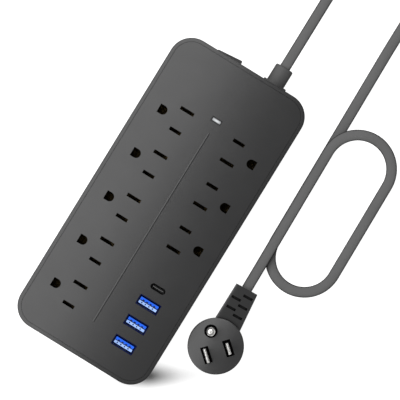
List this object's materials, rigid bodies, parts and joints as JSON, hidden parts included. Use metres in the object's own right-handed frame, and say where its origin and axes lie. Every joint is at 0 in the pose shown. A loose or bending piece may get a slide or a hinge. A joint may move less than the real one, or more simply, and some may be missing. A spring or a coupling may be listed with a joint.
{
  "type": "power strip",
  "caption": "Flat surge-protector power strip with two outlet columns, USB ports, a rocker switch and a cord with a flat round plug.",
  "frame": {"origin": "centre of the case's flat underside", "axes": "+X across the case towards the cord loop, +Y along the case towards the end with the switch and cord, +Z out of the outlet face"},
  "size_m": [0.1779, 0.3499, 0.0356],
  "materials": {
    "case_plastic": "fine matt texture",
    "rocker_plastic": "satin",
    "inner_plastic": "moulded",
    "contact_metal": "rolled strip",
    "screw_steel": "zinc plated",
    "lens_white": "clear white",
    "led_epoxy": "clear",
    "board_green": "solder mask",
    "varistor_blue": "epoxy",
    "fuse_white": "ceramic",
    "usb_metal": "dark blue plated",
    "usb_blue": "satin",
    "usb_contact": "pale blue",
    "usb_black": "satin",
    "ferrite": "sintered",
    "capacitor_sleeve": "sleeve",
    "switch_black": "satin",
    "black_insulation": "wire insulation",
    "white_insulation": "wire insulation",
    "green_insulation": "wire insulation",
    "boot_rubber": "matt",
    "cord_jacket": "satin",
    "plug_plastic": "matt",
    "core_black": "satin",
    "pin_metal": "nickel plated"
  },
  "bodies": {
    "case": {"housing_tub": "case_plastic", "face_cover": "case_plastic", "left_contact_carrier": "inner_plastic", "right_contact_carrier": "inner_plastic", "cord_clamp": "inner_plastic", "left_neutral_bar": "contact_metal", "left_line_bar": "contact_metal", "left_ground_bar": "contact_metal", "right_neutral_bar": "contact_metal", "right_line_bar": "contact_metal", "right_ground_bar": "contact_metal", "switch_terminals": "contact_metal", "usb_a_contacts": "contact_metal", "housing_screws": "screw_steel", "clamp_screws": "screw_steel", "indicator_lens": "lens_white", "indicator_led": "led_epoxy", "indicator_board": "board_green", "surge_board": "board_green", "usb_board": "board_green", "surge_varistors": "varistor_blue", "thermal_fuse": "fuse_white", "usb_a_shells": "usb_metal", "usb_a_tongues": "usb_blue", "usb_a_floors": "usb_contact", "usb_c_shell": "usb_black", "usb_c_tongue": "usb_black", "usb_transformer": "ferrite", "usb_capacitors": "capacitor_sleeve", "switch_body": "switch_black", "line_lead": "black_insulation", "switched_leads": "black_insulation", "usb_leads": "black_insulation", "neutral_leads": "white_insulation", "ground_leads": "green_insulation", "cord_boot": "boot_rubber", "cord_entry": "cord_jacket"},
    "rocker": {"switch_rocker": "rocker_plastic", "switch_spring": "screw_steel", "switch_plunger": "screw_steel"},
    "seesaw": {"contact_seesaw": "contact_metal"},
    "cord_coil": {"supply_cord_coil": "cord_jacket"},
    "cord_loop": {"supply_cord_loop": "cord_jacket"},
    "plug": {"plug_cord_end": "cord_jacket", "plug_body": "plug_plastic", "plug_core": "core_black", "plug_neutral_blade": "pin_metal", "plug_line_blade": "pin_metal", "plug_ground_pin": "pin_metal"}
  },
  "joints": [
    {"name": "rocker_tilt", "type": "hinge", "parent": "case", "child": "rocker", "pos_m": [-0.0123, 0.0905, 0.0145], "axis": [0, 0, 1], "range_deg": [-11, 0]},
    {"name": "contact_rock", "type": "hinge", "parent": "case", "child": "seesaw", "pos_m": [-0.0123, 0.0806, 0.0145], "axis": [0, 0, 1], "range_deg": [0, 12.1]},
    {"name": "cord_exit_bend", "type": "hinge", "parent": "case", "child": "cord_coil", "pos_m": [0.0167, 0.106, 0.0145], "axis": [0, 0, 1], "range_deg": [0, 25]},
    {"name": "cord_middle_bend", "type": "hinge", "parent": "cord_coil", "child": "cord_loop", "pos_m": [0.0606, 0.14, 0.0029], "axis": [0, 0, 1], "range_deg": [0, 30]},
    {"name": "plug_bend", "type": "hinge", "parent": "cord_loop", "child": "plug", "pos_m": [0.06279, -0.0088, 0.007], "axis": [0, 0, 1], "range_deg": [-6, 25]}
  ],
  "couplings": [
    {"joint": "contact_rock", "follows": "rocker_tilt", "ratio": -1.0909}
  ]
}
